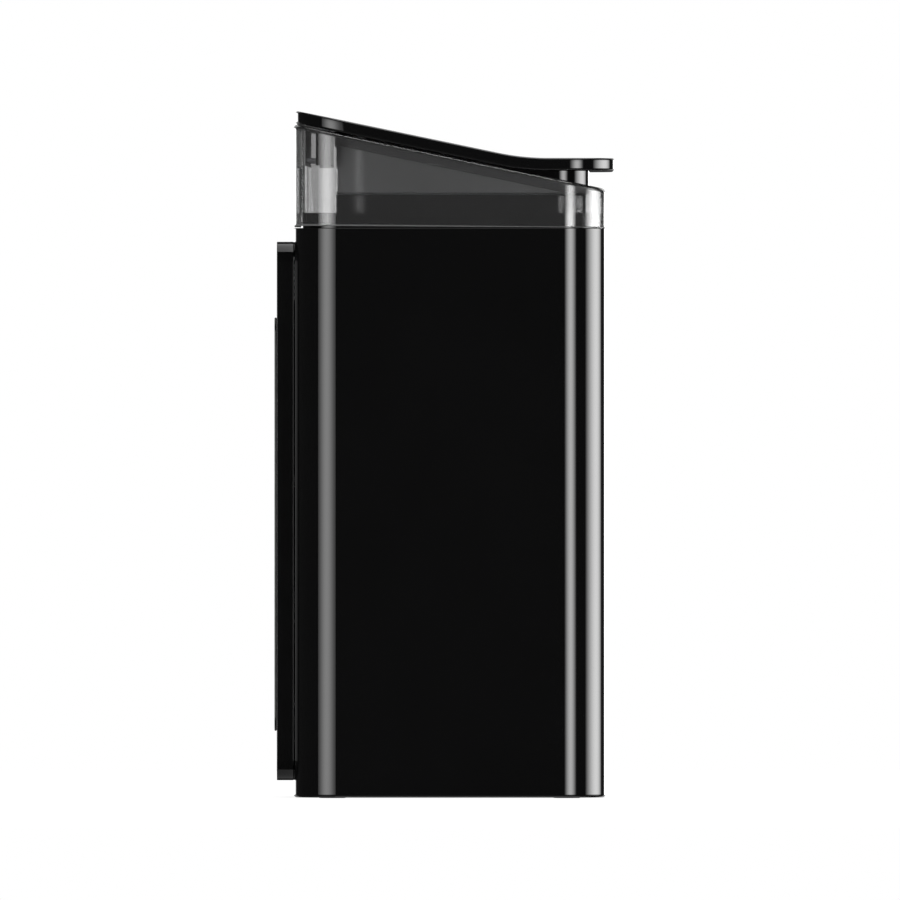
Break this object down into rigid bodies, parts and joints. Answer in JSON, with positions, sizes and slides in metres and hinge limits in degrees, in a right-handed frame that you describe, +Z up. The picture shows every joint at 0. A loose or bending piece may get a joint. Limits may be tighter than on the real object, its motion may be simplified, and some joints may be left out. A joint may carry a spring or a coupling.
{
  "type": "trash compactor",
  "caption": "Free-standing household trash compactor: tall gloss black body, smoky collar, sloped lid that carries a scissor-driven ram over an inner bucket.",
  "frame": {"origin": "centre of the footprint, on the floor", "axes": "+Z up, the front faces -Y, +X to the right when looking along +Y"},
  "size_m": [0.31, 0.3612, 0.7296],
  "materials": {
    "shell": "high gloss black lacquer",
    "lid": "high gloss black",
    "plug": "gloss black",
    "smoke": "clear smoky polycarbonate, polished",
    "housing_grey": "satin dark grey moulded",
    "rear_case": "gloss black, polished",
    "satin_black": "satin black fine grain",
    "bucket": "matt dark grey moulded",
    "rubber": "matt rubber",
    "steel": "brushed zinc plate",
    "motor_metal": "satin plated can",
    "ram_metal": "brushed stainless",
    "brass": "machined",
    "nylon": "natural nylon",
    "button_light": "light grey gloss",
    "circuit_board": "solder mask",
    "carbon_foam": "open carbon foam",
    "fan_plastic": "satin black",
    "rocker": "gloss black"
  },
  "bodies": {
    "root": {"base_plate": "satin_black", "foot_front_left": "rubber", "foot_front_right": "rubber", "foot_rear_left": "rubber", "foot_rear_right": "rubber", "outer_shell": "shell", "bucket": "bucket", "top_deck": "plug", "hopper_ring": "plug", "collar": "smoke", "hinge_housing": "satin_black", "hinge_plate": "steel", "hinge_arm_left": "steel", "hinge_arm_right": "steel", "lock_solenoid": "satin_black", "rear_housing": "rear_case", "fan_frame": "satin_black", "charcoal_filter": "carbon_foam", "power_supply": "motor_metal", "control_board": "circuit_board", "mains_inlet": "satin_black", "switch_body": "satin_black"},
    "lid": {"lid_panel": "lid", "button_board": "circuit_board", "button_cover": "lid", "hinge_pin_left": "steel", "hinge_pin_right": "steel", "plug_frame": "plug", "drive_housing": "housing_grey", "lid_track_left": "steel", "lid_track_right": "steel", "pivot_bracket_left": "steel", "pivot_bracket_right": "steel", "gearmotor": "motor_metal", "motor_bracket": "steel"},
    "start_button": {"start_button": "button_light"},
    "stop_button": {"stop_button": "satin_black"},
    "pinion": {"drive_pinion": "brass"},
    "scissor_a": {"drive_shaft": "steel", "scissor_arm_a_left": "steel", "scissor_arm_a_right": "steel", "sector_gear": "steel", "centre_pin_left": "steel", "centre_pin_right": "steel"},
    "scissor_b": {"scissor_arm_b_left": "steel", "scissor_arm_b_right": "steel", "ram_shaft": "steel"},
    "lower_rollers": {"lower_rollers": "nylon"},
    "upper_rollers": {"upper_rollers": "nylon"},
    "ram": {"ram_plate": "ram_metal", "ram_bracket_left": "steel", "ram_bracket_right": "steel", "ram_track_left": "steel", "ram_track_right": "steel"},
    "lock_bolt": {"lock_bolt": "steel"},
    "fan": {"fan_rotor": "fan_plastic"},
    "service_cover": {"service_cover": "rear_case"},
    "power_rocker": {"power_rocker": "rocker"}
  },
  "joints": [
    {"name": "lid_hinge", "type": "hinge", "parent": "root", "child": "lid", "pos_m": [0, 0.15125, 0.7225], "axis": [-1, 0, 0], "range_deg": [0, 75]},
    {"name": "scissor_drive", "type": "hinge", "parent": "lid", "child": "scissor_a", "pos_m": [0, 0.09585, 0.648], "axis": [1, 0, 0], "range_deg": [0, 58]},
    {"name": "scissor_cross", "type": "hinge", "parent": "scissor_a", "child": "scissor_b", "pos_m": [0, -0.01389, 0.6405], "axis": [1, 0, 0], "range_deg": [-116, 0]},
    {"name": "ram_pivot", "type": "hinge", "parent": "scissor_b", "child": "ram", "pos_m": [0, 0.09585, 0.633], "axis": [1, 0, 0], "range_deg": [0, 58]},
    {"name": "pinion_spin", "type": "hinge", "parent": "lid", "child": "pinion", "pos_m": [0, 0.05525, 0.67144], "axis": [1, 0, 0], "range_deg": [-232, 0]},
    {"name": "lower_roller_spin", "type": "hinge", "parent": "scissor_a", "child": "lower_rollers", "pos_m": [0, -0.12364, 0.633], "axis": [1, 0, 0], "continuous": true},
    {"name": "upper_roller_spin", "type": "hinge", "parent": "scissor_b", "child": "upper_rollers", "pos_m": [0, -0.12364, 0.648], "axis": [1, 0, 0], "continuous": true},
    {"name": "start_button_press", "type": "slide", "parent": "lid", "child": "start_button", "axis": [0, 0, -1], "range_m": [0, 0.0015], "stiffness_N_per_m": 400, "springref_m": -0.001},
    {"name": "stop_button_press", "type": "slide", "parent": "lid", "child": "stop_button", "axis": [0, 0, -1], "range_m": [0, 0.0015], "stiffness_N_per_m": 400, "springref_m": -0.001},
    {"name": "lock_bolt_slide", "type": "slide", "parent": "root", "child": "lock_bolt", "axis": [-1, 0, 0], "range_m": [0, 0.008], "stiffness_N_per_m": 60, "springref_m": -0.002},
    {"name": "fan_spin", "type": "hinge", "parent": "root", "child": "fan", "pos_m": [0, 0.16785, 0.55], "axis": [0, 1, 0], "continuous": true},
    {"name": "service_cover_pull", "type": "slide", "parent": "root", "child": "service_cover", "axis": [0, 1, 0], "range_m": [0, 0.06]},
    {"name": "power_rocker_tilt", "type": "hinge", "parent": "root", "child": "power_rocker", "pos_m": [0.045, 0.17185, 0.045], "axis": [1, 0, 0], "range_deg": [-32, 0]}
  ],
  "couplings": [
    {"joint": "scissor_cross", "follows": "scissor_drive", "ratio": -2},
    {"joint": "ram_pivot", "follows": "scissor_drive", "ratio": 1},
    {"joint": "pinion_spin", "follows": "scissor_drive", "ratio": -4}
  ]
}
